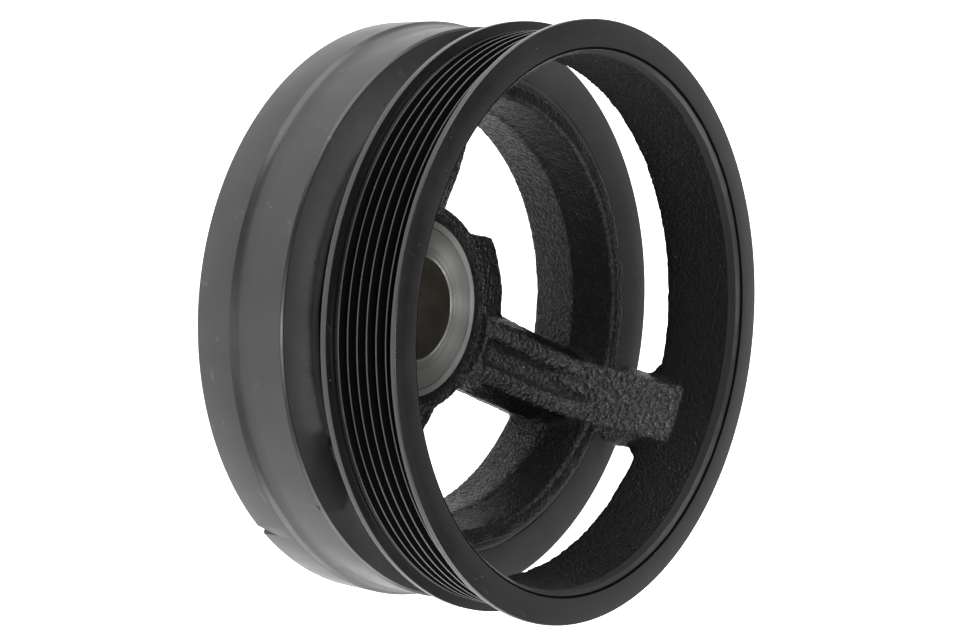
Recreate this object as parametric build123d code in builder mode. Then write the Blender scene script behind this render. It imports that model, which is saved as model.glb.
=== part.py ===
# Harmonic balancer for a V8 crankshaft nose: a bonded three-piece damper.
#   hub_casting     one iron casting: seal snout, hub, three deep spokes, rear rim and pulley ring
#   elastomer_ring  the thin rubber sleeve bonded between the rear rim and the inertia ring
#   inertia_ring    the heavy machined outer ring with its timing notch
# Millimetres. +Z runs along the crank axis from the engine towards the pulley; z = 0 is the
# rear end of the seal snout, on which the part stands. Stations along the axis are given as
# depths behind the front face of the pulley ring.
import os
from math import atan2, cos, radians, sin, tan

from build123d import *

# ---- overall -----------------------------------------------------------------------------
overall_length = 114.0          # front face of the pulley ring to the rear end of the snout
spoke_count = 3
first_spoke_angle = 60.0        # degrees from +X; the other spokes follow evenly

# ---- pulley ring (six-rib belt, PK section) ------------------------------------------------
groove_count = 6
groove_pitch = 3.56
groove_angle = 40.0             # included angle of one groove
groove_depth = 3.1
crest_flat = 0.45
crest_radius = 89.5
flange_radius = 92.4
front_land = 1.7                # flat top of the front flange
rear_land = 2.3                 # flat top of the rear flange
rear_crest = 1.5                # wide first crest beside the rear flange
rear_relief = 0.6               # turned relief between that crest and the rear flange
rear_relief_depth = 1.0
flange_chamfer = 0.3
ring_bore_front = 83.4          # inner edge of the machined front face
ring_bevel = 0.5                # turned bevel there: its width
ring_bevel_depth = 1.0          # and its depth
ring_bore_rear = 82.0           # as-cast wall at its rear edge
ring_lip = 1.4                  # as-cast inner edge standing behind the machined rear face
ring_lip_width = 4.5
ring_lip_slope = 1.0

# ---- rear rim ------------------------------------------------------------------------------
rim_front = 43.0                # depth of its rough front face
rim_rear = 77.4
rim_outer = 74.7                # turned for the rubber sleeve
rim_bore_front = 69.6
rim_bore_parting = 67.4         # smallest at the mould's parting line
rim_parting = 59.3
rim_bore_rear = 69.2
rim_edge_radius = 1.2

# ---- hub, nose and seal snout ----------------------------------------------------------------
hub_face = 71.5                 # rough front face of the hub and of its three ledges
hub_radius = 34.9
hub_rear = 90.0                 # shoulder behind the hub
hub_rear_radius = 33.0
nose_face = 73.5                # seat of the crank bolt's washer
nose_ring_radius = 29.8         # bare turned ring
nose_groove_radius = 26.2
nose_groove_width = 0.7
nose_groove_depth = 0.4
spotface_radius = 32.6          # edge of the painted cone around the bare ring
spotface_cone = 0.9
crank_bore_radius = 17.2
bore_chamfer = 0.8
snout_radius = 23.8             # seal surface
snout_lead = 3.0
snout_lead_radius = 22.4

# ---- puller ledges, one beside each spoke ------------------------------------------------------
ledge_radius = 43.15
ledge_thickness = 9.0
ledge_end_inner = (8.0, 31.8)   # its cut end, as (along the spoke, across it), from inside the boss
ledge_end_outer = (22.3, 36.6)
ledge_end_fillet = 4.0          # where that end runs into the boss
root_half_width = 13.0          # plan of the spoke's root on its other side
root_length = 40.0
root_fillet = 4.5

# ---- spokes ------------------------------------------------------------------------------------
arm_root = 20.0                 # where the swept arm starts, inside the hub
arm_root_depth = 74.1           # depth of its front face there
arm_hub_slope = 22.4            # degrees, over the inner half
arm_ring_slope = 64.0           # degrees, where it climbs to the pulley ring
arm_ring_depth = 19.4           # depth at which its front face meets the ring wall
arm_bend_radius = 35.0
arm_hub_face_width = 21.8       # width of its front face at the root
arm_ring_face_width = 19.0      # and at its outer end
arm_hub_parting_width = 31.0    # widest, at the mould's parting line
arm_ring_parting_width = 27.8
arm_parting_depth = 6.6         # measured square to the front face
arm_rear_draft = 10.0           # degrees, behind the parting line
arm_section_depth = 60.0
arm_clear_width = 20.4          # the rim is cut down this wide where the face passes over it
arm_clear_height = 6.0
arm_clear_radius = 78.0
arm_face_edge = 1.6
arm_parting_edge = 1.0
arm_outer_radius = 83.8         # outer side, in the gap behind the pulley ring
arm_outer_end = 42.2            # depth where that side ends, clear of the inertia ring
arm_outer_corner = 3.0
shoulder_half_width = 16.8      # where that side flares into the pulley ring's rear edge
shoulder_foot_half_width = 13.8
shoulder_length = 3.4
shoulder_radius = 3.6
web_hub_rear = 85.0             # depth of the web's rear edge beside the hub

# ---- channel between the two ribs of each spoke --------------------------------------------------
channel_start = 36.5            # along the spoke
channel_half_width = 4.6
channel_depth = 3.4             # at its hub end
channel_slope = 28.0            # degrees, of its floor
channel_bend = 65.6             # where its floor turns up to run out of the face
channel_end_slope = 68.0
channel_bend_radius = 30.0
channel_mouth = 10.0            # how far the cutter stands above the floor
channel_wall_angle = 18.0
channel_corner = 2.5

# ---- rubber sleeve and inertia ring ----------------------------------------------------------------
sleeve_thickness = 3.0
sleeve_recess = 0.8             # how far its ends lie inside the metal
inertia_front = 45.6
inertia_rear = 77.4
band_front_radius = 91.2
band_rear_radius = 93.4
band_step = 63.4                # depth of the step between the two bands
band_step_fillet = 1.8
inertia_front_chamfer = 0.6
inertia_rear_chamfer = 0.5

# ---- timing notch in the inertia ring ----------------------------------------------------------------
notch_angle = 311.6             # of its deepest line
notch_length = 7.4              # it runs out towards the front
notch_slant_width = 3.9         # its gentle side, on the rear face
notch_steep_width = 1.0         # its steep side
notch_depth = 1.9
notch_overcut = 1.5             # how far the cutter stands outside the band

# ---- worked out from the sizes above ---------------------------------------------------------------
half_groove = radians(groove_angle / 2)
groove_root_radius = crest_radius - groove_depth
groove_mouth = groove_pitch - crest_flat
groove_root = groove_mouth - 2 * groove_depth * tan(half_groove)
front_flank = (flange_radius - groove_root_radius) * tan(half_groove)
first_groove = front_land + front_flank + groove_root / 2
last_groove = first_groove + (groove_count - 1) * groove_pitch
rear_wall = last_groove + groove_mouth / 2 + rear_crest + rear_relief
ring_rear = rear_wall + rear_land
lip_outer = ring_bore_rear + ring_lip_width
sleeve_outer = rim_outer + sleeve_thickness
ring_edge = ring_rear + ring_lip
arm_rear_narrowing = 2 * (arm_section_depth - arm_parting_depth) * tan(radians(arm_rear_draft))
notch_rise = notch_depth / notch_length


def height(depth):
    """Z of a station that lies this far behind the front face."""
    return overall_length - depth


def section_points(points):
    """(radius, depth) pairs as points of a half section in the XZ plane."""
    return [(radius, height(depth)) for radius, depth in points]


def groove_points():
    """The belt grooves from front to rear, as (radius, depth)."""
    points = []
    for number in range(groove_count):
        centre = first_groove + number * groove_pitch
        if number > 0:
            points.append((crest_radius, centre - groove_mouth / 2))
        points.append((groove_root_radius, centre - groove_root / 2))
        points.append((groove_root_radius, centre + groove_root / 2))
        points.append((crest_radius, centre + groove_mouth / 2))
    return points


# ---- one spoke, along +X ---------------------------------------------------------------------------
# Its front face leaves the hub on a gentle slope, then bends up to meet the pulley ring. The
# section widens behind that face to the parting line and narrows again towards the rear.
hub_rise = tan(radians(arm_hub_slope))
ring_rise = tan(radians(arm_ring_slope))
arm_climb = arm_root_depth - arm_ring_depth
arm_bend = arm_root + (ring_rise * (ring_bore_rear - arm_root) - arm_climb) / (ring_rise - hub_rise)
arm_bend_depth = arm_root_depth - hub_rise * (arm_bend - arm_root)
arm_end = arm_outer_radius + arm_outer_corner
arm_end_depth = arm_bend_depth - ring_rise * (arm_end - arm_bend)

with BuildPart() as spoke:
    with BuildLine(Plane.XZ) as arm_path:
        FilletPolyline(
            (arm_root, height(arm_root_depth)),
            (arm_bend, height(arm_bend_depth)),
            (arm_end, height(arm_end_depth)),
            radius=arm_bend_radius,
        )
    for station, face_width, parting_width in (
        (0, arm_hub_face_width, arm_hub_parting_width),
        (1, arm_ring_face_width, arm_ring_parting_width),
    ):
        across = Plane(
            origin=arm_path.line @ station,
            x_dir=(0, 1, 0),
            z_dir=arm_path.line % station,
        )
        with BuildSketch(across) as arm_section:
            with BuildLine():
                rear_width = parting_width - arm_rear_narrowing
                Polyline(
                    (face_width / 2, 0),
                    (parting_width / 2, -arm_parting_depth),
                    (rear_width / 2, -arm_section_depth),
                    (-rear_width / 2, -arm_section_depth),
                    (-parting_width / 2, -arm_parting_depth),
                    (-face_width / 2, 0),
                    close=True,
                )
            make_face()
            fillet(arm_section.vertices().group_by(Axis.Y)[-1], arm_face_edge)
            fillet(arm_section.vertices().group_by(Axis.X)[0], arm_parting_edge)
            fillet(arm_section.vertices().group_by(Axis.X)[-1], arm_parting_edge)
    sweep(path=arm_path.line, multisection=True)

    # trimmed to the room between the hub, the rim and the pulley ring
    with BuildSketch(Plane.XZ) as arm_room:
        with BuildLine():
            room_outline = [
                (arm_root, 0),
                (arm_outer_radius, 0),
                (arm_outer_radius, arm_outer_end - arm_outer_corner),
                (arm_outer_radius - arm_outer_corner, arm_outer_end),
                (rim_outer, arm_outer_end),
                (rim_outer, rim_rear),
                (rim_bore_parting, rim_rear),
                (hub_radius, web_hub_rear),
                (arm_root, web_hub_rear),
            ]
            Polyline(section_points(room_outline), close=True)
        make_face()
    revolve(axis=Axis.Z, mode=Mode.INTERSECT)

    # channel between the two ribs, deepest beside the hub and fading out on the bend
    channel_top = arm_root_depth - hub_rise * (channel_start - arm_root) + channel_depth
    channel_bend_depth = channel_top - tan(radians(channel_slope)) * (channel_bend - channel_start)
    with BuildLine(Plane.XZ) as channel_path:
        FilletPolyline(
            (channel_start, height(channel_top)),
            (channel_bend, height(channel_bend_depth)),
            (arm_outer_radius, height(channel_bend_depth - tan(radians(channel_end_slope)) * (arm_outer_radius - channel_bend))),
            radius=channel_bend_radius,
        )
    channel_mouth_half_width = channel_half_width + channel_mouth * tan(radians(channel_wall_angle))
    with BuildSketch(
        Plane(
            origin=channel_path.line @ 0,
            x_dir=(0, 1, 0),
            z_dir=channel_path.line % 0,
        )
    ) as channel_section:
        with BuildLine():
            Polyline(
                (channel_half_width, 0),
                (channel_mouth_half_width, channel_mouth),
                (-channel_mouth_half_width, channel_mouth),
                (-channel_half_width, 0),
                close=True,
            )
        make_face()
        fillet(channel_section.vertices().group_by(Axis.Y)[0], channel_corner)
    sweep(path=channel_path.line, mode=Mode.SUBTRACT)

# ---- room in front of that spoke's face, to cut the rim down to it ----------------------------------------
with BuildPart() as clearance:
    with BuildSketch(
        Plane(
            origin=arm_path.line @ 0,
            x_dir=(0, 1, 0),
            z_dir=arm_path.line % 0,
        )
    ):
        Rectangle(
            arm_clear_width,
            arm_clear_height,
            align=(Align.CENTER, Align.MIN),
        )
    sweep(path=arm_path.line)
    Cylinder(
        arm_clear_radius,
        overall_length,
        align=(Align.CENTER, Align.CENTER, Align.MIN),
        mode=Mode.INTERSECT,
    )

# ---- the shoulder where that spoke's outer side flares into the pulley ring -----------------------------
with BuildPart() as shoulder:
    with BuildSketch(Plane.YZ) as shoulder_face:
        with BuildLine():
            edge_right = (shoulder_half_width, height(ring_edge))
            foot_right = (shoulder_foot_half_width, height(ring_edge + shoulder_length))
            edge_left = (-shoulder_half_width, height(ring_edge))
            foot_left = (-shoulder_foot_half_width, height(ring_edge + shoulder_length))
            RadiusArc(edge_right, foot_right, shoulder_radius)
            Line(foot_right, foot_left)
            RadiusArc(foot_left, edge_left, shoulder_radius)
            Polyline(
                edge_left,
                (-shoulder_half_width, height(ring_rear)),
                (shoulder_half_width, height(ring_rear)),
                edge_right,
            )
        make_face()
    extrude(amount=arm_end)
    with BuildSketch(Plane.XZ) as shoulder_room:
        with BuildLine():
            shoulder_outline = [
                (ring_bore_rear, ring_rear),
                (arm_outer_radius, ring_rear),
                (arm_outer_radius, rim_front),
                (ring_bore_rear, rim_front),
            ]
            Polyline(section_points(shoulder_outline), close=True)
        make_face()
    revolve(axis=Axis.Z, mode=Mode.INTERSECT)

# ---- hub boss with the puller ledge on one side of that spoke and its root on the other --------------------
with BuildPart() as ledge:
    with BuildSketch(Plane.XY.offset(height(hub_face + ledge_thickness))) as ledge_plan:
        Circle(ledge_radius)
        with BuildLine():
            ledge_end = Line(ledge_end_inner, ledge_end_outer)
            Polyline(
                ledge_end @ 1,
                ledge_end @ 1 + (ledge_end % 1) * ledge_radius,
                (2 * ledge_radius, 0),
                (0, 0),
                ledge_end @ 0,
            )
        make_face(mode=Mode.INTERSECT)
        Circle(hub_radius)
        with Locations((root_length / 2, -root_half_width / 2)):
            Rectangle(root_length, root_half_width)
        # the concave corners on the boss: the ledge's end, and the root's
        boss_corners = ledge_plan.vertices().sort_by_distance((0, 0, height(hub_face + ledge_thickness)))[:2]
        fillet(boss_corners.sort_by(Axis.Y)[-1], ledge_end_fillet)
        fillet(boss_corners.sort_by(Axis.Y)[0], root_fillet)
    extrude(amount=ledge_thickness)

# ---- hub_casting -------------------------------------------------------------------------------------
with BuildPart() as hub_casting:
    # pulley ring: two flanges, the grooves between them and the as-cast bore
    with BuildSketch(Plane.XZ) as ring_section:
        with BuildLine():
            ring_outline = [
                (ring_bore_front, 0),
                (flange_radius - flange_chamfer, 0),
                (flange_radius, flange_chamfer),
                (flange_radius, front_land),
            ]
            ring_outline += groove_points()
            ring_outline += [
                (crest_radius, rear_wall - rear_relief),
                (crest_radius - rear_relief_depth, rear_wall - rear_relief),
                (crest_radius - rear_relief_depth, rear_wall),
                (flange_radius, rear_wall),
                (flange_radius, ring_rear - flange_chamfer),
                (flange_radius - flange_chamfer, ring_rear),
                (lip_outer + ring_lip_slope, ring_rear),
                (lip_outer, ring_rear + ring_lip),
                (ring_bore_rear, ring_rear + ring_lip),
                (ring_bore_front - ring_bevel, ring_bevel_depth),
            ]
            Polyline(section_points(ring_outline), close=True)
        make_face()
    revolve(axis=Axis.Z)

    # rear rim, drafted both ways from the parting line
    with BuildSketch(Plane.XZ) as rim_section:
        with BuildLine():
            rim_outline = [
                (rim_outer, rim_front),
                (rim_bore_front, rim_front),
                (rim_bore_parting, rim_parting),
                (rim_bore_rear, rim_rear),
                (rim_outer, rim_rear),
            ]
            Polyline(section_points(rim_outline), close=True)
        make_face()
        fillet(rim_section.vertices().group_by(Axis.Y)[-1].sort_by(Axis.X)[0], rim_edge_radius)
    revolve(axis=Axis.Z)

    # its front edge is cut down wherever a spoke's face passes over it
    with PolarLocations(0, spoke_count, start_angle=first_spoke_angle):
        add(clearance.part, mode=Mode.SUBTRACT)

    # hub, nose and seal snout
    with BuildSketch(Plane.XZ) as hub_section:
        with BuildLine():
            hub_outline = [
                (crank_bore_radius, nose_face + bore_chamfer),
                (crank_bore_radius + bore_chamfer, nose_face),
                (nose_groove_radius - nose_groove_width / 2, nose_face),
                (nose_groove_radius - nose_groove_width / 2, nose_face + nose_groove_depth),
                (nose_groove_radius + nose_groove_width / 2, nose_face + nose_groove_depth),
                (nose_groove_radius + nose_groove_width / 2, nose_face),
                (nose_ring_radius, nose_face),
                (spotface_radius, nose_face - spotface_cone),
                (spotface_radius, hub_face),
                (hub_radius, hub_face),
                (hub_rear_radius, hub_rear),
                (snout_radius, hub_rear),
                (snout_radius, overall_length - snout_lead),
                (snout_lead_radius, overall_length),
                (crank_bore_radius + bore_chamfer, overall_length),
                (crank_bore_radius, overall_length - bore_chamfer),
            ]
            Polyline(section_points(hub_outline), close=True)
        make_face()
    revolve(axis=Axis.Z)

    # three spokes, each with its shoulder at the ring and its ledge at the hub
    with PolarLocations(0, spoke_count, start_angle=first_spoke_angle):
        add(spoke.part)
        add(shoulder.part)
        add(ledge.part)

    # turning the nose and the bore cuts the spokes' roots back to the same profile
    with BuildSketch(Plane.XZ) as nose_room:
        with BuildLine():
            nose_outline = [
                (0, 0),
                (spotface_radius, 0),
                (spotface_radius, nose_face - spotface_cone),
                (nose_ring_radius, nose_face),
                (crank_bore_radius + bore_chamfer, nose_face),
                (crank_bore_radius, nose_face + bore_chamfer),
                (crank_bore_radius, overall_length),
                (0, overall_length),
            ]
            Polyline(section_points(nose_outline), close=True)
        make_face()
    revolve(axis=Axis.Z, mode=Mode.SUBTRACT)
hub_casting.part.label = "hub_casting"

# ---- elastomer_ring ------------------------------------------------------------------------------------
with BuildPart() as elastomer_ring:
    with BuildSketch(Plane.XZ) as sleeve_section:
        with BuildLine():
            sleeve_outline = [
                (rim_outer, inertia_front + sleeve_recess),
                (sleeve_outer, inertia_front + sleeve_recess),
                (sleeve_outer, inertia_rear - sleeve_recess),
                (rim_outer, inertia_rear - sleeve_recess),
            ]
            Polyline(section_points(sleeve_outline), close=True)
        make_face()
    revolve(axis=Axis.Z)
elastomer_ring.part.label = "elastomer_ring"

# ---- inertia_ring ----------------------------------------------------------------------------------------
with BuildPart() as inertia_ring:
    with BuildSketch(Plane.XZ) as inertia_section:
        with BuildLine():
            inertia_outline = [
                (sleeve_outer, inertia_front),
                (band_front_radius, inertia_front),
                (band_front_radius, band_step),
                (band_rear_radius, band_step),
                (band_rear_radius, inertia_rear),
                (sleeve_outer, inertia_rear),
            ]
            Polyline(section_points(inertia_outline), close=True)
        make_face()
        corners = inertia_section.vertices()
        band_front_corner = corners.group_by(Axis.Y)[-1].sort_by(Axis.X)[-1]
        band_rear_corner = corners.group_by(Axis.Y)[0].sort_by(Axis.X)[-1]
        step_corner = corners.group_by(Axis.Y)[1].sort_by(Axis.X)[0]
        chamfer(band_front_corner, inertia_front_chamfer)
        chamfer(band_rear_corner, inertia_rear_chamfer)
        fillet(step_corner, band_step_fillet)
    revolve(axis=Axis.Z)

    # timing notch: a lopsided V at the rear edge that runs out towards the front
    outward = Vector(1, 0, 0).rotate(Axis.Z, notch_angle)
    rear_plane = Plane(origin=(0, 0, height(inertia_rear)), x_dir=outward, z_dir=(0, 0, 1))
    with BuildSketch(rear_plane) as notch_section:
        with BuildLine():
            overcut = 1 + notch_overcut / notch_depth
            Polyline(
                (band_rear_radius - notch_depth, 0),
                (band_rear_radius + notch_overcut, notch_steep_width * overcut),
                (band_rear_radius + notch_overcut, -notch_slant_width * overcut),
                close=True,
            )
        make_face()
    extrude(
        amount=notch_length,
        dir=(outward * notch_rise + Vector(0, 0, 1)).normalized(),
        mode=Mode.SUBTRACT,
    )
inertia_ring.part.label = "inertia_ring"

# ---- files -----------------------------------------------------------------------------------------------
os.makedirs("parts", exist_ok=True)
export_step(hub_casting.part, "parts/hub_casting.step")
export_step(elastomer_ring.part, "parts/elastomer_ring.step")
export_step(inertia_ring.part, "parts/inertia_ring.step")
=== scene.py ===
# %% [markdown]
# # A harmonic balancer in iron and rubber
# A harmonic balancer sits on the front of an engine's crankshaft. One iron casting carries the
# belt grooves, three spokes and the hub; a heavy ring hangs on it through a thin rubber sleeve.
# Every piece below is placed in the frame of its imported CAD model: metres, with the crank axis
# along +Z. This cell loads that frame.

import math

import bmesh
import bpy
import numpy as np
from mathutils import Matrix, Vector, noise


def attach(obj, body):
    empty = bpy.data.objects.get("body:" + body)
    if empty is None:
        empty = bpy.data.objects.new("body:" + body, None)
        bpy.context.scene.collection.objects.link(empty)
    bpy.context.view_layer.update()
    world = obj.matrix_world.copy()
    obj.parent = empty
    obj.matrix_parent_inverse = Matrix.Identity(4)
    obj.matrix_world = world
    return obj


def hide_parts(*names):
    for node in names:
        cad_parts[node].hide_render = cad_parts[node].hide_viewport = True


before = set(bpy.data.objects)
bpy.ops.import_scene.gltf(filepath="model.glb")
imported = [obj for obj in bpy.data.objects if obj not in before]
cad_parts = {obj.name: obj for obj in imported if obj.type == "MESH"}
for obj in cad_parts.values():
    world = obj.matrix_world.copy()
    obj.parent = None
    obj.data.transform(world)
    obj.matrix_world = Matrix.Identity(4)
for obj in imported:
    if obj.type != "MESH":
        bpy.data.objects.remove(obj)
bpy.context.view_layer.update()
for node_name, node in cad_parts.items():
    print(node_name, len(node.data.polygons), "CAD faces")

# %% [markdown]
# ## Stations along the axis
# The casting was drawn from its pulley face backwards, so the lesson does the same: a point is
# given by its radius and its depth behind that face, in millimetres. One small function turns a
# depth into a height in metres.

# %% Millimetres and depths
MM = 0.001
overall_length = 114.0


def height(depth):
    """Height in metres of a station that lies this many millimetres behind the pulley face."""
    return (overall_length - depth) * MM


casting_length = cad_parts["hub_casting"].dimensions.z / MM
print("the CAD casting is", round(casting_length, 2), "mm long")

# %% [markdown]
# ## Turned pieces
# Anything cut on a lathe is a half section spun about the axis. Its corners are never quite
# sharp: the tool leaves a tiny round that catches the light. A bevel modifier could add that,
# but easing the flat outline first is quicker and never overlaps.

# %% Easing corners and spinning a section
slight_bend = math.radians(12)
sharp_edge = math.radians(38)
longest_share = 0.4


def eased(outline, width):
    """The closed outline with each real corner swapped for a tiny round of this width, in mm."""
    points = [Vector(p) for p in outline]
    result = []
    for i, corner in enumerate(points):
        before, after = points[i - 1], points[(i + 1) % len(points)]
        into, out = corner - before, after - corner
        if into.angle(out) < slight_bend:
            result.append(corner)
            continue
        reach = min(width, into.length * longest_share, out.length * longest_share)
        start, end = corner - into.normalized() * reach, corner + out.normalized() * reach
        middle = start * 0.25 + corner * 0.5 + end * 0.25
        result += [start, middle, end]
    return result


def placed(name, mesh):
    """A new object that shows this mesh in the scene."""
    piece = bpy.data.objects.new(name, mesh)
    bpy.context.scene.collection.objects.link(piece)
    return piece


def turned(name, outline, segments=288, round_width=0.16):
    """A closed outline of (radius, depth) pairs spun about the crank axis."""
    section = eased(outline, round_width)
    mesh = bpy.data.meshes.new(name)
    vertices, faces = [], []
    for step in range(segments):
        angle = 2 * math.pi * step / segments
        c, s = math.cos(angle) * MM, math.sin(angle) * MM
        vertices += [(r * c, r * s, height(d)) for r, d in section]
    count = len(section)
    for step in range(segments):
        here, there = step * count, (step + 1) % segments * count
        for k in range(count):
            n = (k + 1) % count
            faces.append((here + k, here + n, there + n, there + k))
    mesh.from_pydata(vertices, [], faces)
    shape = bmesh.new()
    shape.from_mesh(mesh)
    bmesh.ops.recalc_face_normals(shape, faces=shape.faces)
    shape.to_mesh(mesh)
    shape.free()
    mesh.shade_smooth()
    mesh.set_sharp_from_angle(angle=sharp_edge)
    print(name, len(mesh.polygons), "faces")
    return placed(name, mesh)


print("corners of more than", round(math.degrees(slight_bend)), "degrees are eased")

# %% [markdown]
# ## The casting's skin
# Sand leaves a grainy, slightly lumpy skin, and every edge of the pattern comes out soft. The
# CAD solid has few, long faces, which can't hold such a skin. A voxel remesh turns it into an
# even net of small faces, and a little smoothing rounds the edges as sand does.

# %% Remesh the casting
voxel = 1.0 * MM
weld_distance = 0.002 * MM


def apply_modifiers(piece):
    """Gives a piece the mesh that its modifiers make."""
    graph = bpy.context.evaluated_depsgraph_get()
    mesh = bpy.data.meshes.new_from_object(piece.evaluated_get(graph))
    piece.modifiers.clear()
    piece.data = mesh


def remeshed_copy(node, name, size, smoothing):
    """An even net over a CAD node, smoothed this many times."""
    piece = placed(name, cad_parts[node].data.copy())
    weld = piece.modifiers.new("weld", "WELD")
    weld.merge_threshold = weld_distance
    net = piece.modifiers.new("net", "REMESH")
    net.mode = "VOXEL"
    net.voxel_size = size
    soften = piece.modifiers.new("soften", "SMOOTH")
    soften.factor = 0.4
    soften.iterations = smoothing
    apply_modifiers(piece)
    piece.data.materials.clear()
    return piece


casting = remeshed_copy("hub_casting", "hub_casting_skin", voxel, smoothing=2)
print("casting net", len(casting.data.polygons), "faces")

# %% [markdown]
# ## Where the spokes run
# Later steps deepen each spoke's channel, coarsen its skin and lay flash on its sides. So its
# front line is worked out once, as it was drawn: a gentle slope, an arc, a steep slope.

# %% The spoke's line
spoke_angles = [60, 180, 300]
arm_root, arm_root_depth, arm_bend = 20.0, 74.1, 64.2
hub_slope, ring_slope, bend_radius = math.radians(22.4), math.radians(64.0), 35.0
tangent = bend_radius * math.tan((ring_slope - hub_slope) / 2)
straight = (arm_bend - arm_root) / math.cos(hub_slope) - tangent
arc = bend_radius * (ring_slope - hub_slope)


def arm_station(travel):
    """(along, depth, slope) of the spoke's face after this much travel from its root."""
    before_arc = min(travel, straight)
    along = arm_root + before_arc * math.cos(hub_slope)
    depth = arm_root_depth - before_arc * math.sin(hub_slope)
    if travel <= straight:
        return along, depth, hub_slope
    slope = hub_slope + min(travel - straight, arc) / bend_radius
    along += bend_radius * (math.sin(slope) - math.sin(hub_slope))
    depth -= bend_radius * (math.cos(hub_slope) - math.cos(slope))
    rest = max(0.0, travel - straight - arc)
    return along + rest * math.cos(slope), depth - rest * math.sin(slope), slope


stations = np.array([arm_station(travel)[:2] for travel in np.linspace(0.0, 90.0, 181)])


def spoke_places(points):
    """How far points in mm lie along the nearest spoke, across it and behind its front line."""
    half_gap = math.pi / len(spoke_angles)
    around = np.arctan2(points[:, 1], points[:, 0]) - math.radians(spoke_angles[0])
    around = (around + half_gap) % (2 * half_gap) - half_gap
    reach = np.hypot(points[:, 0], points[:, 1])
    along, across = reach * np.cos(around), reach * np.sin(around)
    line_depth = np.interp(along, stations[:, 0], stations[:, 1])
    return along, across, overall_length - points[:, 2] - line_depth


print("spoke line from", stations[0].round(1), "to", stations[-1].round(1))

# %% [markdown]
# ## The casting's own relief
# Inside the rear rim the two mould halves met out of line, which leaves a step that wanders. On
# each spoke's front a channel runs between two soft ribs. Sculpting would be slow and uneven,
# so each is a push along the normals, faded by where a point lies.

# %% The rim's seam and the spokes' channels
rim_parting, seam_step, seam_reach = 59.3, 0.34, 14.0
channel_depth, rib_height, flank_swell = 1.3, 0.55, 1.0
wall_radius, corner_share = 82.5, 0.85


def softly(value, low, high):
    """A smooth step from 0 at low to 1 at high."""
    t = np.clip((value - low) / (high - low), 0.0, 1.0)
    return t * t * (3 - 2 * t)


def between(value, start, full, fading, end):
    """Rises smoothly from start to full, and falls again from fading to end."""
    return softly(value, start, full) * (1 - softly(value, fading, end))


def zones(points):
    """Radius and depth, in mm, of an array of points."""
    radius = np.hypot(points[:, 0], points[:, 1]) / MM
    depth = overall_length - points[:, 2] / MM
    return radius, depth


def seam_push(points, normals, radius, depth):
    """The step inside the rear rim, strongest at the parting line, which wanders round it."""
    around = np.arctan2(points[:, 1], points[:, 0])
    seam = rim_parting + 0.5 * np.sin(around * 5.0) + 0.3 * np.sin(around * 13.0 + 1.0)
    rim_wall = (radius > 65.8) & (radius < 70.6) & (depth > 45.5) & (depth < 76.5)
    outward = normals[:, 0] * points[:, 0] + normals[:, 1] * points[:, 1]
    facing_in = outward < -0.6 * radius * MM
    behind = np.clip((depth - seam) / 0.4, -1.0, 1.0)
    fade = np.clip(1.0 - np.abs(depth - seam) / seam_reach, 0.0, 1.0)
    return np.where(rim_wall & facing_in, seam_step * behind * fade, 0.0)


def spoke_push(points, normals, radius, depth, places):
    """The channel's floor, the ribs beside it, and a slight swell on one spoke's flank."""
    along, across, under = places
    aside = np.abs(across)
    on_face = softly(normals[:, 2], 0.05, 0.35) * between(under, -3.0, -1.0, 7.0, 8.5)
    on_face *= depth < 73.0
    channel_end = 63.0 + 8.0 * softly(-across, -2.0, 2.5)
    channel = between(along, 32.5, 36.0, channel_end - 5.0, channel_end)
    channel *= 1 - softly(aside, 3.2, 4.4)
    ribs = between(along, 31.0, 36.0, 62.0, 70.0) * between(aside, 4.2, 6.2, 8.2, 10.4)
    ripple = 1 + 0.5 * np.sin(along * 1.3) * np.sin(along * 0.47 + across)
    flank = (points[:, 0] < 0) & (across < -8.0) & (across > -20.0)
    flank &= (radius < 79.5) & (depth < 76.0)
    swell = softly(normals[:, 1], 0.1, 0.5) * between(along, 30.0, 52.0, 66.0, 78.0)
    return (
        on_face * (ribs * rib_height * ripple - channel * channel_depth)
        + np.where(flank, swell * flank_swell, 0.0)
    )


def sharpen_corners(points, radius, places):
    """Tightens the fillet between each spoke's face and the ring's wall to a crisp corner."""
    _, across, under = places
    corner = (np.abs(across) < 14.0) & (radius > 74.0) & (radius < wall_radius)
    corner &= (under < -0.2) & (under > -9.0)
    nearer_face = -under < wall_radius - radius
    on_face, on_wall = corner & nearer_face, corner & ~nearer_face
    points[on_face, 2] -= (-under[on_face] - 0.2) * corner_share * MM
    spread = 1 + corner_share * (wall_radius - radius[on_wall]) / radius[on_wall]
    points[on_wall, :2] *= spread[:, None]


print("channel", channel_depth, "mm deeper, ribs", rib_height, "mm, rim step", seam_step, "mm")

# %% [markdown]
# ## Sand texture
# Sand leaves broad, low lumps and small grains. A displace modifier could add both, but would
# need a painted weight to spare what is machined, so each vertex is moved here by noise of two
# sizes. Under the turned pieces the skin sinks a little, and what a lathe would cut away is
# deleted, since turned pieces take its place.

# %% Push the skin, and drop what is turned away
lump_width, grain_width = 7.0, 1.7


def rows_of(items, title):
    """An array with one row of three numbers for each vertex or face."""
    values = np.empty(len(items) * 3)
    items.foreach_get(title, values)
    return values.reshape(-1, 3)


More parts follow.
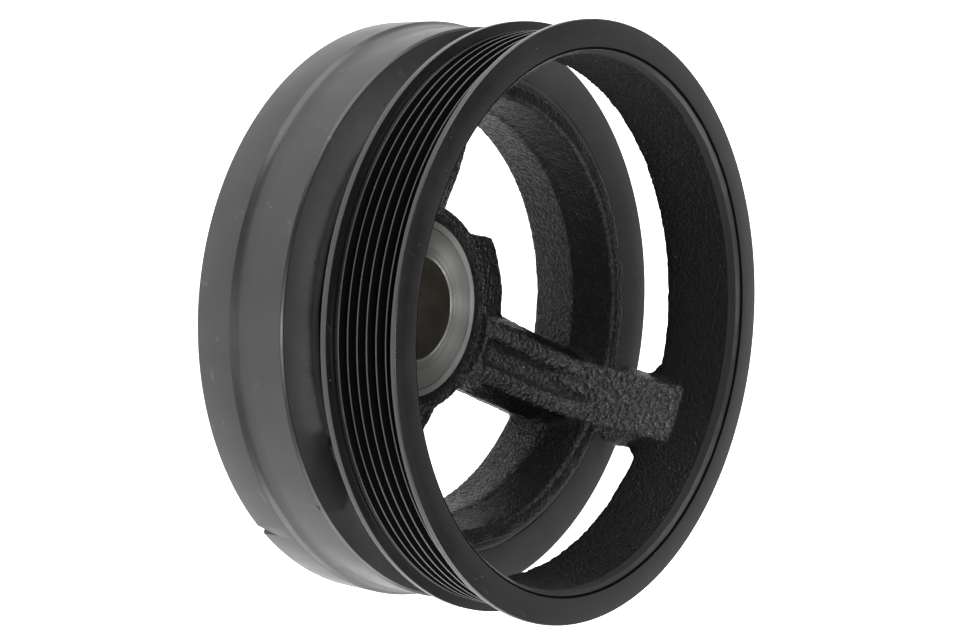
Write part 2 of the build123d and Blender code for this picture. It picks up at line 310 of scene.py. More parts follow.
def sanded(mesh, lump, grain):
    """Moves every vertex by cast lumps and grains of these heights, in mm."""
    points, normals = rows_of(mesh.vertices, "co"), rows_of(mesh.vertices, "normal")
    radius, depth = zones(points)
    push = np.empty(len(points))
    for i, p in enumerate(points):
        q = Vector(p) / MM
        push[i] = lump * noise.noise(q / lump_width) + grain * noise.noise(q / grain_width)
    push += seam_push(points, normals, radius, depth)
    inside_pulley_ring = (radius > 79.5) & (depth < 26.0)
    push[inside_pulley_ring] *= 0.35
    places = spoke_places(points / MM)
    push += spoke_push(points, normals, radius, depth, places)
    rubber_seat = (radius > 73.9) & (depth > 45.0) & (depth < 78.5)
    push[rubber_seat] = -0.05
    under_nose = (radius < 32.7) & (depth < 76.0)
    push[under_nose] = -0.45
    under_front_face = (depth < 1.4) & (radius > 81.0)
    push[under_front_face] = -0.40
    rear_end = (depth > 77.0) & (radius > 66.0)
    push[rear_end] *= 0.4
    points += normals * (push * MM)[:, None]
    sharpen_corners(points, radius, places)
    mesh.vertices.foreach_set("co", points.ravel())
    return radius, depth


radius, depth = sanded(casting.data, lump=0.28, grain=0.20)
grooves_gone = (radius > 84.7) & (depth < 27.6)
flange_gone = (radius > 87.3) & (depth < 29.0)
bore_gone = (radius < 18.4) & (depth > 75.0)
snout_gone = (radius < 25.2) & (depth > 90.9)
turned_off = np.flatnonzero(grooves_gone | flange_gone | bore_gone | snout_gone)
shape = bmesh.new()
shape.from_mesh(casting.data)
shape.verts.ensure_lookup_table()
bmesh.ops.delete(shape, geom=[shape.verts[i] for i in turned_off], context="VERTS")
shape.to_mesh(casting.data)
shape.free()
casting.data.shade_smooth()
print("casting skin", len(casting.data.polygons), "faces")

# %% [markdown]
# ## Hollows and ridges
# Hollows are darkened as painted shade, and ridges are lightened, partly as worn paint and partly
# as a painted highlight. A material can't see the shape round a point, so each point is compared
# with the middle of its neighbours, four rounds out, and the mesh keeps the result for an Attribute
# node. Pointiness would serve too, but only in Cycles.

# %% Mark the hollows
def mark_hollows(mesh, rounds):
    """Stores how hollow the skin is at each point, in mm: ridges are negative."""
    count = len(mesh.vertices)
    points, normals = rows_of(mesh.vertices, "co") / MM, rows_of(mesh.vertices, "normal")
    ends = np.empty(len(mesh.edges) * 2, dtype=np.int64)
    mesh.edges.foreach_get("vertices", ends)
    a, b = ends[0::2], ends[1::2]
    neighbours = np.maximum(np.bincount(a, minlength=count) + np.bincount(b, minlength=count), 1)
    level = points.copy()
    for _ in range(rounds):
        total = np.empty_like(level)
        for axis in range(3):
            total[:, axis] = np.bincount(a, level[b, axis], count)
            total[:, axis] += np.bincount(b, level[a, axis], count)
        level = total / neighbours[:, None]
    hollow = ((level - points) * normals).sum(axis=1)
    mesh.attributes.new("hollow", "FLOAT", "POINT").data.foreach_set("value", hollow)
    print("hollows from", hollow.min().round(2), "to", hollow.max().round(2), "mm")


mark_hollows(casting.data, rounds=4)

# %% [markdown]
# ## The pulley ring's turned skin
# Six grooves for a ribbed belt lie between two flanges. The face's inner edge is rounded over,
# and behind it a bead was left as cast, so it wavers a little. The section repeats, so a loop
# writes the grooves.

# %% Pulley ring
crest_radius, flange_radius, flange_width = 89.5, 92.4, 1.7
groove_count, groove_pitch, groove_depth, crest_flat = 6, 3.56, 3.1, 0.45
half_groove = math.radians(20)
root_radius = crest_radius - groove_depth
groove_mouth = groove_pitch - crest_flat
groove_root = groove_mouth - 2 * groove_depth * math.tan(half_groove)
flange_slope = (flange_radius - root_radius) * math.tan(half_groove)
first_groove = flange_width + flange_slope + groove_root / 2

pulley_outline = [(84.05, 0.0), (92.1, 0.0), (flange_radius, 0.3), (flange_radius, flange_width)]
for number in range(groove_count):
    centre = first_groove + number * groove_pitch
    if number:
        pulley_outline.append((crest_radius, centre - groove_mouth / 2))
    pulley_outline += [
        (root_radius, centre - groove_root / 2),
        (root_radius, centre + groove_root / 2),
        (crest_radius, centre + groove_mouth / 2),
    ]
rear_wall = first_groove + (groove_count - 1) * groove_pitch + groove_mouth / 2 + 2.1
rear_flange = [
    (crest_radius, rear_wall - 0.6), (88.5, rear_wall - 0.6), (88.5, rear_wall),
    (flange_radius, rear_wall), (flange_radius, rear_wall + 2.0), (92.1, rear_wall + 2.3),
    (86.9, rear_wall + 2.3), (85.6, rear_wall + 1.6), (84.4, rear_wall - 1.0),
]
mouth = [
    (84.3, 5.4), (82.3, 4.9), (82.05, 4.6), (82.5, 2.0),
    (82.35, 1.8), (83.2, 0.95), (83.3, 0.5), (83.55, 0.15),
]
pulley = turned("pulley_ring_turned", pulley_outline + rear_flange + mouth)

bead_radius, bead_ripple, ripple_length = 83.35, 0.0035, 6 * MM
for vertex in pulley.data.vertices:
    reach, behind = math.hypot(vertex.co.x, vertex.co.y) / MM, overall_length - vertex.co.z / MM
    if reach < bead_radius and 0.6 < behind < 2.3:
        place = Vector((vertex.co.x, vertex.co.y, 0)) / ripple_length
        ripple = 1 + bead_ripple * noise.noise(place)
        vertex.co.x *= ripple
        vertex.co.y *= ripple

# %% [markdown]
# ## Nose, bore and seal snout
# The hub is bored for the crankshaft's nose and faced for the bolt's washer. Fine grooves leave
# rings of different brightness, too fine for the skin's net, so the nose is its own piece. The
# snout behind it runs in the front oil seal.

# %% Nose and snout
nose_face, nose_ring, spotface = 73.5, 29.7, 31.9
bore_radius, snout_radius, snout_lead = 17.2, 23.8, 22.4
nose_outline = [
    (bore_radius, nose_face + 0.4), (17.5, nose_face + 0.05), (18.9, nose_face + 0.05),
    (18.95, nose_face + 0.35), (19.15, nose_face + 0.35), (19.2, nose_face + 0.05),
    (27.2, nose_face + 0.05), (27.22, nose_face + 0.6), (27.5, nose_face + 0.6),
    (27.52, nose_face), (nose_ring, nose_face), (spotface - 0.4, nose_face - 0.75),
    (spotface, nose_face - 1.2), (spotface + 0.4, nose_face - 1.8),
    (spotface + 1.7, nose_face - 2.0), (spotface + 1.9, nose_face + 1.5),
    (snout_radius, nose_face + 4.0), (snout_radius, overall_length - 3.0),
    (snout_lead, overall_length), (18.0, overall_length), (bore_radius, overall_length - 0.8),
]
nose = turned("nose_and_snout", nose_outline, segments=240)

# %% [markdown]
# ## The inertia ring, its notch and its dent
# The outer ring is turned iron in two bands, with a long cove between. Its rear edge has a
# timing notch, a lopsided V that runs out towards the front, and its front edge one small dent
# from handling. Moving vertices would leave both too soft, so each is cut with a boolean: the
# notch by a wedge, the dent by a squashed ball.

# %% Inertia ring
band_front, band_rear, ring_rear = 91.2, 93.4, 77.4
cove = [
    (band_front, 57.4), (91.23, 58.4), (91.32, 59.4), (91.48, 60.4),
    (91.74, 61.3), (92.14, 62.1), (92.7, 62.8), (band_rear, 63.4),
]
inertia_outline = [
    (77.7, 45.35), (90.3, 44.4), (band_front, 45.1), *cove,
    (band_rear, ring_rear - 0.5), (band_rear - 0.5, ring_rear), (77.7, ring_rear),
]
inertia = turned("inertia_ring_turned", inertia_outline, segments=360, round_width=0.2)

# %% Notch and dent
notch_angle, notch_rear_depth, notch_front_depth = math.radians(311.6), 77.8, 70.0
notch_rear_end = [(91.35, 0.0), (95.5, 1.9), (95.5, -7.6)]
notch_front_end = [(93.55, 0.3), (95.5, 0.9), (95.5, -2.0)]
dent_angle, dent_radius, dent_depth = math.radians(302.0), 91.35, 45.2
dent_squash = (0.55, 1.5, 0.8)


def at_angle(radius, depth, along):
    """A point at this radius and depth, this many millimetres round from the notch's line."""
    angle = notch_angle + along / radius
    return (radius * math.cos(angle) * MM, radius * math.sin(angle) * MM, height(depth))


def cut_away(piece, tool):
    """Subtracts a closed tool mesh from a piece and applies the result."""
    cutter = placed("cutter", tool)
    cut = piece.modifiers.new("cut", "BOOLEAN")
    cut.operation = "DIFFERENCE"
    cut.solver = "EXACT"
    cut.object = cutter
    apply_modifiers(piece)
    bpy.data.objects.remove(cutter)
    piece.data.set_sharp_from_angle(angle=sharp_edge)


wedge = bpy.data.meshes.new("notch_wedge")
wedge_corners = [at_angle(reach, notch_rear_depth, along) for reach, along in notch_rear_end]
wedge_corners += [at_angle(reach, notch_front_depth, along) for reach, along in notch_front_end]
wedge_sides = [(0, 1, 2), (3, 5, 4), (0, 3, 4, 1), (1, 4, 5, 2), (2, 5, 3, 0)]
wedge.from_pydata(wedge_corners, [], wedge_sides)
cut_away(inertia, wedge)

dent_tool = bmesh.new()
bmesh.ops.create_icosphere(dent_tool, subdivisions=2, radius=1.0 * MM)
for vertex in dent_tool.verts:
    vertex.co.x *= dent_squash[0]
    vertex.co.y *= dent_squash[1] + 0.4 * noise.noise(vertex.co / MM)
    vertex.co.z *= dent_squash[2]
dent_reach = dent_radius * MM
dent_middle = (math.cos(dent_angle) * dent_reach, math.sin(dent_angle) * dent_reach)
dent_tool.transform(
    Matrix.Translation((*dent_middle, height(dent_depth)))
    @ Matrix.Rotation(dent_angle, 4, "Z")
    @ Matrix.Rotation(math.radians(25), 4, "X")
)
dent = bpy.data.meshes.new("dent_tool")
dent_tool.to_mesh(dent)
dent_tool.free()
cut_away(inertia, dent)
print("inertia ring", len(inertia.data.polygons), "faces after the notch and the dent")

# %% [markdown]
# ## The rubber sleeve
# Only the thin end faces of the rubber are ever seen. It is pressed in wet, so they bulge
# unevenly, and a slow wave round the circle says so.

# %% Rubber
sleeve_inner, sleeve_outer = 74.6, 77.8
end_wave, waves_round = 0.35, 6.0
sleeve_outline = [
    (sleeve_inner, 45.5), (76.1, 45.2), (sleeve_outer, 45.5),
    (sleeve_outer, 76.5), (76.2, 76.9), (sleeve_inner, 76.5),
]
rubber = turned("rubber_sleeve", sleeve_outline, segments=240, round_width=0.5)
for vertex in rubber.data.vertices:
    around = math.atan2(vertex.co.y, vertex.co.x)
    place = Vector((math.cos(around), math.sin(around), 0.3)) * waves_round
    vertex.co.z += end_wave * MM * noise.noise(place)

# %% [markdown]
# ## Flash along the spokes
# The mould's halves meet along each spoke's sides, where iron creeps in and leaves a ragged
# fin. It is too thin for the skin's net, so it is a strip of its own: it follows the spoke's
# line at the depth of the joint, and noise decides how far it stands out.

# %% Flash fins
joint_depth, root_half_width, half_narrowing = 6.6, 15.45, 1.6 / 75.0
fin_spacing, fin_thickness, fin_wander = 0.35, 0.45, 0.25


def flash_fin(name, side, seed, first=16.0, last=52.0, tallest=0.36):
    """Ragged fins on one side of all three spokes, along the mould's joint."""
    shape = bmesh.new()
    steps = int((last - first) / fin_spacing)
    for spoke, spoke_angle in enumerate(spoke_angles):
        turn = Matrix.Rotation(math.radians(spoke_angle), 4, "Z")
        rows = []
        for i in range(steps + 1):
            travel = first + (last - first) * i / steps
            along, depth, slope = arm_station(travel)
            along += joint_depth * math.sin(slope)
            depth += joint_depth * math.cos(slope)
            half = root_half_width - half_narrowing * travel
            ragged = noise.noise(Vector((travel / 2.1, seed + spoke * 7.3, 0.0)))
            ragged += 0.5 * noise.noise(Vector((travel / 0.7, seed, spoke * 3.1)))
            fin = max(0.02, tallest * (0.45 + 0.9 * ragged))
            wander = fin_wander * noise.noise(Vector((travel / 5.0, seed, 9.0)))
            across = Vector((math.sin(slope), 0, -math.cos(slope)))
            centre = Vector((along, side * half, overall_length - depth)) + across * wander
            inward = Vector((0, side * fin_thickness, 0))
            low = centre - across * fin_thickness - inward
            high = centre + across * fin_thickness - inward
            tip = centre + Vector((0, side * fin, 0))
            rows.append([shape.verts.new(turn @ (p * MM)) for p in (low, tip, high)])
        for a, b in zip(rows, rows[1:]):
            shape.faces.new((a[0], a[1], b[1], b[0]))
            shape.faces.new((a[1], a[2], b[2], b[1]))
            shape.faces.new((a[2], a[0], b[0], b[2]))
        shape.faces.new(rows[0])
        shape.faces.new(rows[-1][::-1])
    bmesh.ops.recalc_face_normals(shape, faces=shape.faces)
    mesh = bpy.data.meshes.new(name)
    shape.to_mesh(mesh)
    shape.free()
    return placed(name, mesh)


fin_right = flash_fin("flash_fin_right", 1, seed=2.0)
fin_left = flash_fin("flash_fin_left", -1, seed=5.0)
print("flash", len(fin_right.data.polygons) + len(fin_left.data.polygons), "faces")

# %% [markdown]
# ## Shared effects
# Four small node groups serve every finish, so an effect is built once and a finish only sets
# its scale. A group takes a position and gives back heights, tones or masks. These helpers
# make a group, a Math node, a noise and a range in one line each.

# %% Node helpers
VECTOR, FLOAT = "NodeSocketVector", "NodeSocketFloat"


def new_group(name, inputs, outputs):
    """A shader group with named float or vector sockets; returns it with its two end nodes."""
    group = bpy.data.node_groups.new(name, "ShaderNodeTree")
    for title, kind, value in inputs:
        socket = group.interface.new_socket(title, in_out="INPUT", socket_type=kind)
        if value is not None:
            socket.default_value = value
    for title, kind in outputs:
        group.interface.new_socket(title, in_out="OUTPUT", socket_type=kind)
    print("group", name, "gives", *(title for title, kind in outputs))
    return group, group.nodes.new("NodeGroupInput"), group.nodes.new("NodeGroupOutput")


def feed(tree, socket, value):
    """Sets a socket to a number, or links it when the value is itself a socket."""
    if isinstance(value, bpy.types.NodeSocket):
        tree.links.new(value, socket)
    else:
        socket.default_value = value


def math_node(tree, operation, a, b=0.5, c=None, clamp=False):
    """One Math node; a, b and c are sockets or numbers."""
    node = tree.nodes.new("ShaderNodeMath")
    node.operation = operation
    node.use_clamp = clamp
    for socket, value in zip(node.inputs, (a, b, c)):
        if value is not None:
            feed(tree, socket, value)
    return node.outputs[0]


def noise_node(tree, place, scale, detail=2.0, rough=0.55):
    """A Noise texture's value; scale is a socket or a number."""
    node = tree.nodes.new("ShaderNodeTexNoise")
    node.inputs["Detail"].default_value = detail
    node.inputs["Roughness"].default_value = rough
    tree.links.new(place, node.inputs["Vector"])
    feed(tree, node.inputs["Scale"], scale)
    return node.outputs["Fac"]


def ranged(tree, value, low, high, to_low=0.0, to_high=1.0):
    """Map Range with clamping."""
    node = tree.nodes.new("ShaderNodeMapRange")
    tree.links.new(value, node.inputs["Value"])
    ends = {"From Min": low, "From Max": high, "To Min": to_low, "To Max": to_high}
    for title, number in ends.items():
        node.inputs[title].default_value = number
    return node.outputs["Result"]


print("node helpers ready")

# %% [markdown]
# ## Cast grain
# A sand skin is a field of pebbles with finer dust between. A smooth Voronoi gives round
# pebbles, where noise alone would look like dented sheet, and a little noise breaks them up.
# A slower noise gives the tone that drifts over a casting.

# %% Cast grain
cast_grain, inner, outer = new_group(
    "cast_grain",
    [("Position", VECTOR, None), ("Grains per metre", FLOAT, 900.0)],
    [("Height", FLOAT), ("Tone", FLOAT)],
)
place, per_metre = inner.outputs["Position"], inner.outputs["Grains per metre"]
fine = noise_node(cast_grain, place, per_metre, 1.5, 0.5)
pebble = cast_grain.nodes.new("ShaderNodeTexVoronoi")
pebble.feature = "SMOOTH_F1"
cast_grain.links.new(place, pebble.inputs["Vector"])
cast_grain.links.new(math_node(cast_grain, "MULTIPLY", per_metre, 0.8), pebble.inputs["Scale"])
pit = math_node(cast_grain, "MULTIPLY", pebble.outputs["Distance"], -1.0)
cast_grain.links.new(math_node(cast_grain, "ADD", fine, pit), outer.inputs["Height"])
slow = noise_node(cast_grain, place, math_node(cast_grain, "MULTIPLY", per_metre, 0.06), 3.0, 0.6)
cast_grain.links.new(ranged(cast_grain, slow, 0.35, 0.68), outer.inputs["Tone"])

# %% [markdown]
# ## Turning marks
# A lathe tool leaves fine rings, each at one radius and one height. Noise that is looked up by
# radius and height, and not by angle, gives such rings on flat faces and on rims alike.

# %% Turning marks
turning_marks, inner, outer = new_group(
    "turning_marks",
    [("Position", VECTOR, None), ("Marks per metre", FLOAT, 3000.0)],
    [("Height", FLOAT), ("Tone", FLOAT)],
)
split = turning_marks.nodes.new("ShaderNodeSeparateXYZ")
turning_marks.links.new(inner.outputs["Position"], split.inputs[0])
x_squared = math_node(turning_marks, "POWER", split.outputs["X"], 2.0)
y_squared = math_node(turning_marks, "POWER", split.outputs["Y"], 2.0)
ring_radius = math_node(turning_marks, "SQRT", math_node(turning_marks, "ADD", x_squared, y_squared))
ring_place = turning_marks.nodes.new("ShaderNodeCombineXYZ")
turning_marks.links.new(ring_radius, ring_place.inputs["X"])
turning_marks.links.new(split.outputs["Z"], ring_place.inputs["Y"])
marks = inner.outputs["Marks per metre"]
lines = noise_node(turning_marks, ring_place.outputs[0], marks, 2.0, 0.7)
turning_marks.links.new(lines, outer.inputs["Height"])
wider = math_node(turning_marks, "MULTIPLY", marks, 0.12)
bands = noise_node(turning_marks, ring_place.outputs[0], wider, 2.0, 0.6)
turning_marks.links.new(ranged(turning_marks, bands, 0.3, 0.7), outer.inputs["Tone"])

# %% [markdown]
# ## Specks and clouds
# Pits, chips and dust are small, scattered and never quite round. Each Voronoi cell may hold
# one: its random colour decides whether and how large, and noise makes the edge crooked. A slow
# noise gives the cloudy patches of handled metal.

# %% Specks and clouds
specks, inner, outer = new_group(
    "specks",
    [("Position", VECTOR, None), ("Cells per metre", FLOAT, 300.0), ("Size", FLOAT, 0.12)],
    [("Mask", FLOAT), ("Cloud", FLOAT)],
)
place, cells, size = (inner.outputs[title] for title in ("Position", "Cells per metre", "Size"))
cell = specks.nodes.new("ShaderNodeTexVoronoi")
specks.links.new(place, cell.inputs["Vector"])
specks.links.new(cells, cell.inputs["Scale"])
chance = specks.nodes.new("ShaderNodeSeparateColor")
specks.links.new(cell.outputs["Color"], chance.inputs[0])
sparse = ranged(specks, chance.outputs[0], 0.66, 0.68)
reach = math_node(specks, "MULTIPLY", size, ranged(specks, chance.outputs[1], 0.0, 1.0, 0.35, 1.3))
ragged = noise_node(specks, place, math_node(specks, "MULTIPLY", cells, 9.0), 1.0)
uneven = math_node(specks, "SUBTRACT", ragged, 0.5)
crooked = math_node(specks, "MULTIPLY_ADD", uneven, size, cell.outputs["Distance"])
small = math_node(specks, "LESS_THAN", crooked, reach)
specks.links.new(math_node(specks, "MULTIPLY", sparse, small), outer.inputs["Mask"])
cloud = noise_node(specks, place, math_node(specks, "MULTIPLY", cells, 0.12), 4.0, 0.65)
specks.links.new(ranged(specks, cloud, 0.38, 0.66), outer.inputs["Cloud"])

# %% [markdown]
# ## Scratches
# Handling leaves thin lines that mostly run one way. Noise squeezed hard across that way and
# hardly along it turns into streaks, and only its highest peaks are kept.

# %% Scratches
scratches, inner, outer = new_group(
    "scratches",
    [("Position", VECTOR, None), ("Across", FLOAT, 500.0), ("Along", FLOAT, 22.0)],
    [("Mask", FLOAT)],
)
turned_place = scratches.nodes.new("ShaderNodeVectorRotate")
turned_place.rotation_type = "EULER_XYZ"
turned_place.inputs["Rotation"].default_value = (0.3, 0.5, 0.9)
scratches.links.new(inner.outputs["Position"], turned_place.inputs["Vector"])
stretch = scratches.nodes.new("ShaderNodeCombineXYZ")
for title, axis in (("Across", "X"), ("Along", "Y"), ("Across", "Z")):
    scratches.links.new(inner.outputs[title], stretch.inputs[axis])
stretched = scratches.nodes.new("ShaderNodeVectorMath")
stretched.operation = "MULTIPLY"
scratches.links.new(turned_place.outputs[0], stretched.inputs[0])
scratches.links.new(stretch.outputs[0], stretched.inputs[1])
streak = noise_node(scratches, stretched.outputs[0], 1.0, 1.0, 0.5)
scratches.links.new(ranged(scratches, streak, 0.73, 0.77), outer.inputs["Mask"])

# %% [markdown]
# ## Finishes
# Each finish is one Principled shader, fed by the groups above. Positions are taken in the
# object's own space, so a finish stays put when a piece moves.

# %% Material helpers
def new_material(name):
    """An empty node material: returns it with its tree, shader and object position."""
    material = bpy.data.materials.new(name)
    material.use_nodes = True
    tree = material.node_tree
    shader = tree.nodes["Principled BSDF"]
    position = tree.nodes.new("ShaderNodeTexCoord").outputs["Object"]
    print("finish", name)
    return material, tree, shader, position


def use(tree, group, position, **values):
    """Places a shared group and sets its inputs; underscores in names stand for spaces."""
    node = tree.nodes.new("ShaderNodeGroup")
    node.node_tree = group
    tree.links.new(position, node.inputs["Position"])
    for title, value in values.items():
        node.inputs[title.replace("_", " ")].default_value = value
    return node


def grey(level, blue=1.0):
    """A neutral colour of this level; blue above 1 cools it a little."""
    return (level, level, level * blue)


def blended(tree, factor, first, second):
    """A colour between two, by a 0 to 1 socket; each colour is a socket or a triple."""
    node = tree.nodes.new("ShaderNodeMix")
    node.data_type = "RGBA"
    tree.links.new(factor, node.inputs["Factor"])
    for socket, colour in ((node.inputs[6], first), (node.inputs[7], second)):
        feed(tree, socket, (*colour, 1.0) if isinstance(colour, tuple) else colour)
    return node.outputs[2]


def surface(tree, shader, colour, roughness, relief, relief_depth):
    """Colour, roughness (a socket or a number) and a bump this many mm deep."""
    tree.links.new(colour, shader.inputs["Base Color"])
    feed(tree, shader.inputs["Roughness"], roughness)
    bump = tree.nodes.new("ShaderNodeBump")
    bump.inputs["Strength"].default_value = 1.0
    bump.inputs["Distance"].default_value = relief_depth * MM
    tree.links.new(relief, bump.inputs["Height"])
    tree.links.new(bump.outputs["Normal"], shader.inputs["Normal"])


print("material helpers ready")

# %% [markdown]
# ## Painted cast iron
# The casting is dipped in thin black paint, which shines on the grains' tops. Its ridges are
# lighter, partly worn to grey and partly a painted highlight, and its creases are painted dead
# black as shade. So colour and roughness both follow the grain and the stored hollows. Three
# grades differ in grain and gloss.

# %% Painted cast iron
# Creases are painted dark as shade; ridges are lightened, partly as wear and partly as a painted
# highlight.
chip_colour, crease_shade_colour, ridge_wear_and_highlight_gain = (0.14, 0.135, 0.13), grey(0.001), 1.6


def cast_finish(name, relief_depth, grains, dark, light, polish, gloss):
    """Black paint over sand-cast iron; relief_depth in mm, polish is (low, high) roughness."""
    material, tree, shader, position = new_material(name)
    shader.inputs["Specular IOR Level"].default_value = gloss
    grain = use(tree, cast_grain, position, Grains_per_metre=grains)
    coarse = use(tree, cast_grain, position, Grains_per_metre=grains * 0.45)
    chips = use(tree, specks, position, Cells_per_metre=330.0, Size=0.07)
    skin_shape = tree.nodes.new("ShaderNodeAttribute")
    skin_shape.attribute_name = "hollow"
    ridge_wear_and_highlight = ranged(tree, skin_shape.outputs["Fac"], -0.10, -0.42)
    shaded_crease = ranged(tree, skin_shape.outputs["Fac"], 0.06, 0.26)
    peak = ranged(tree, grain.outputs["Height"], -0.05, 0.32)
    paint = blended(tree, peak, grey(dark), grey(light, blue=1.02))
    # Ridges turn lighter: partly worn paint, partly a painted highlight.
    paint = blended(tree, ridge_wear_and_highlight, paint, grey(light * ridge_wear_and_highlight_gain))
    # Creases turn near black: painted shade.
    paint = blended(tree, shaded_crease, paint, crease_shade_colour)
    colour = blended(tree, chips.outputs["Mask"], paint, chip_colour)
    worn = ranged(tree, peak, 0.0, 1.0, polish[1], polish[0])
    rougher = math_node(tree, "MULTIPLY_ADD", shaded_crease, 0.35, worn, clamp=True)
    relief = math_node(tree, "MULTIPLY_ADD", coarse.outputs["Height"], 0.3, grain.outputs["Height"])
    surface(tree, shader, colour, rougher, relief, relief_depth)
    return material


rough_cast = cast_finish("rough_cast_iron", 0.85, 950.0, 0.001, 0.012, (0.26, 0.60), gloss=0.65)
rim_cast = cast_finish("rim_cast_iron", 0.75, 1050.0, 0.002, 0.011, (0.26, 0.55), gloss=0.50)
# The fine grade's much darker colour is painted shade for the walls and sides it covers.
fine_shaded_cast = cast_finish("fine_shaded_cast_iron", 0.30, 1300.0, 0.001, 0.003, (0.30, 0.50), gloss=0.26)

# %% [markdown]
# ## Painted turned iron
# The pulley's turned faces carry the same black coat, only smooth. Faint rings show through
# from the iron; a few scratches and grains of dust lie on top.

# %% Painted turned iron
painted_turned, tree, shader, position = new_material("painted_turned_iron")
marks = use(tree, turning_marks, position, Marks_per_metre=2600.0)
dust = use(tree, specks, position, Cells_per_metre=420.0, Size=0.06)
lines = use(tree, scratches, position, Across=420.0, Along=16.0)
paint = blended(tree, marks.outputs["Tone"], (0.0055, 0.0055, 0.0058), (0.0095, 0.0095, 0.0098))
colour = blended(tree, lines.outputs["Mask"], paint, grey(0.018))
colour = blended(tree, dust.outputs["Mask"], colour, (0.16, 0.16, 0.155))
roughness = ranged(tree, dust.outputs["Cloud"], 0.0, 1.0, 0.25, 0.35)
surface(tree, shader, colour, roughness, marks.outputs["Height"], 0.012)

# %% [markdown]
# ## Dull paint
# Dull paint goes in the grooves, near black as painted shade, and in the ring's mouth, paler as a
# soft painted highlight; the mouth's very edge takes the grooves' black. A low index of refraction
# keeps both from flashing.

# %% Dull paint
def dull_paint(name, dark, light, dullness, gloss):
    """Dull black paint with faint rings under it."""
    material, tree, shader, position = new_material(name)
    marks = use(tree, turning_marks, position, Marks_per_metre=2600.0)
    paint = blended(tree, marks.outputs["Tone"], grey(dark), grey(light))
    shader.inputs["Specular IOR Level"].default_value = gloss
    shader.inputs["IOR"].default_value = 1.2
    surface(tree, shader, paint, dullness, marks.outputs["Height"], 0.02)
    return material


# Near black for the grooves and the mouth's very edge: painted shade.
shade_paint = dull_paint("shade_paint", 0.0010, 0.0025, dullness=0.8, gloss=0.08)
# Paler for the mouth's land: a painted soft highlight.
mouth_highlight_paint = dull_paint("mouth_highlight_paint", 0.0180, 0.0260, dullness=0.38, gloss=1.00)

# %% [markdown]
# ## Grey inertia iron
# The inertia ring is greyer. Its pits darken the colour and also dent the surface. Its front
# face is the same finish, only paler: painted light for a face that lies sunk behind the pulley.

# %% Grey inertia iron
def grey_finish(name, dark, light):
    """Turned grey iron with pits, cloudy patches and a few handling scratches."""
    material, tree, shader, position = new_material(name)
    marks = use(tree, turning_marks, position, Marks_per_metre=2200.0)
    pits = use(tree, specks, position, Cells_per_metre=135.0, Size=0.055)
    clouds = use(tree, specks, position, Cells_per_metre=360.0, Size=0.0)
    lines = use(tree, scratches, position, Across=380.0, Along=20.0)
    base = blended(tree, clouds.outputs["Cloud"], grey(dark), grey(light, blue=1.04))
    colour = blended(tree, pits.outputs["Mask"], base, grey(0.004))
    colour = blended(tree, lines.outputs["Mask"], colour, grey(0.04))
    roughness = ranged(tree, clouds.outputs["Cloud"], 0.0, 1.0, 0.36, 0.27)
    pit = math_node(tree, "MULTIPLY", pits.outputs["Mask"], -3.0)
    relief = math_node(tree, "ADD", marks.outputs["Height"], pit)
    surface(tree, shader, colour, roughness, relief, 0.012)
    return material


grey_iron = grey_finish("grey_turned_iron", 0.008, 0.015)
# A paler copy of the grey finish: painted light for the ring's sunken front face.
painted_light_iron = grey_finish("painted_light_turned_iron", 0.024, 0.036)

# %% [markdown]
# ## Bare turned iron
# The nose and the snout are bare metal. Fine rings stretch a highlight across themselves, so a
# turned face shows bright fans. Anisotropy with a tangent round the axis does that at once,
# where modelled rings would need far too many faces.

# %% Bare turned iron
bare_iron, tree, shader, position = new_material("bare_turned_iron")
marks = use(tree, turning_marks, position, Marks_per_metre=3400.0)
pits = use(tree, specks, position, Cells_per_metre=500.0, Size=0.06)
base = blended(tree, marks.outputs["Tone"], (0.40, 0.40, 0.385), (0.54, 0.54, 0.525))
colour = blended(tree, pits.outputs["Mask"], base, (0.14, 0.13, 0.12))
shader.inputs["Metallic"].default_value = 0.9
shader.inputs["Anisotropic"].default_value = 0.8
shader.inputs["Anisotropic Rotation"].default_value = 0.25
round_axis = tree.nodes.new("ShaderNodeTangent")
round_axis.direction_type = "RADIAL"
round_axis.axis = "Z"
tree.links.new(round_axis.outputs["Tangent"], shader.inputs["Tangent"])
roughness = ranged(tree, pits.outputs["Cloud"], 0.0, 1.0, 0.40, 0.52)
surface(tree, shader, colour, roughness, marks.outputs["Height"], 0.02)

# %% [markdown]
# ## Oiled bore
# The bore is wiped with oil against rust, which browns the metal in patches and darkens it.

# %% Oiled bore
bore_iron, tree, shader, position = new_material("oiled_bore_iron")
marks = use(tree, turning_marks, position, Marks_per_metre=2600.0)
stain = use(tree, specks, position, Cells_per_metre=200.0, Size=0.05)
colour = blended(tree, stain.outputs["Cloud"], (0.08, 0.07, 0.054), (0.17, 0.155, 0.13))
shader.inputs["Metallic"].default_value = 0.7
surface(tree, shader, colour, 0.42, marks.outputs["Height"], 0.02)

# %% [markdown]
# ## Rubber and worn flash
# Both are small and matt, with a fine grain and a drifting tone, so one recipe makes them. The
# flash is a shade glossier, where gloves rub its edge.

# %% Rubber and worn flash
def matt_finish(name, grains, dark, light, dullness, relief_depth):
    """A matt skin with a fine grain, between two colours."""
    material, tree, shader, position = new_material(name)
    skin = use(tree, cast_grain, position, Grains_per_metre=grains)
    colour = blended(tree, skin.outputs["Tone"], dark, light)
    surface(tree, shader, colour, dullness, skin.outputs["Height"], relief_depth)
    return material


rubber_colours = grey(0.012), (0.026, 0.025, 0.024)
flash_colours = grey(0.004), (0.022, 0.022, 0.021)
black_rubber = matt_finish("black_rubber", 1500.0, *rubber_colours, 0.72, relief_depth=0.05)
worn_flash = matt_finish("worn_flash", 1600.0, *flash_colours, 0.45, relief_depth=0.08)
print("materials", len(bpy.data.materials))

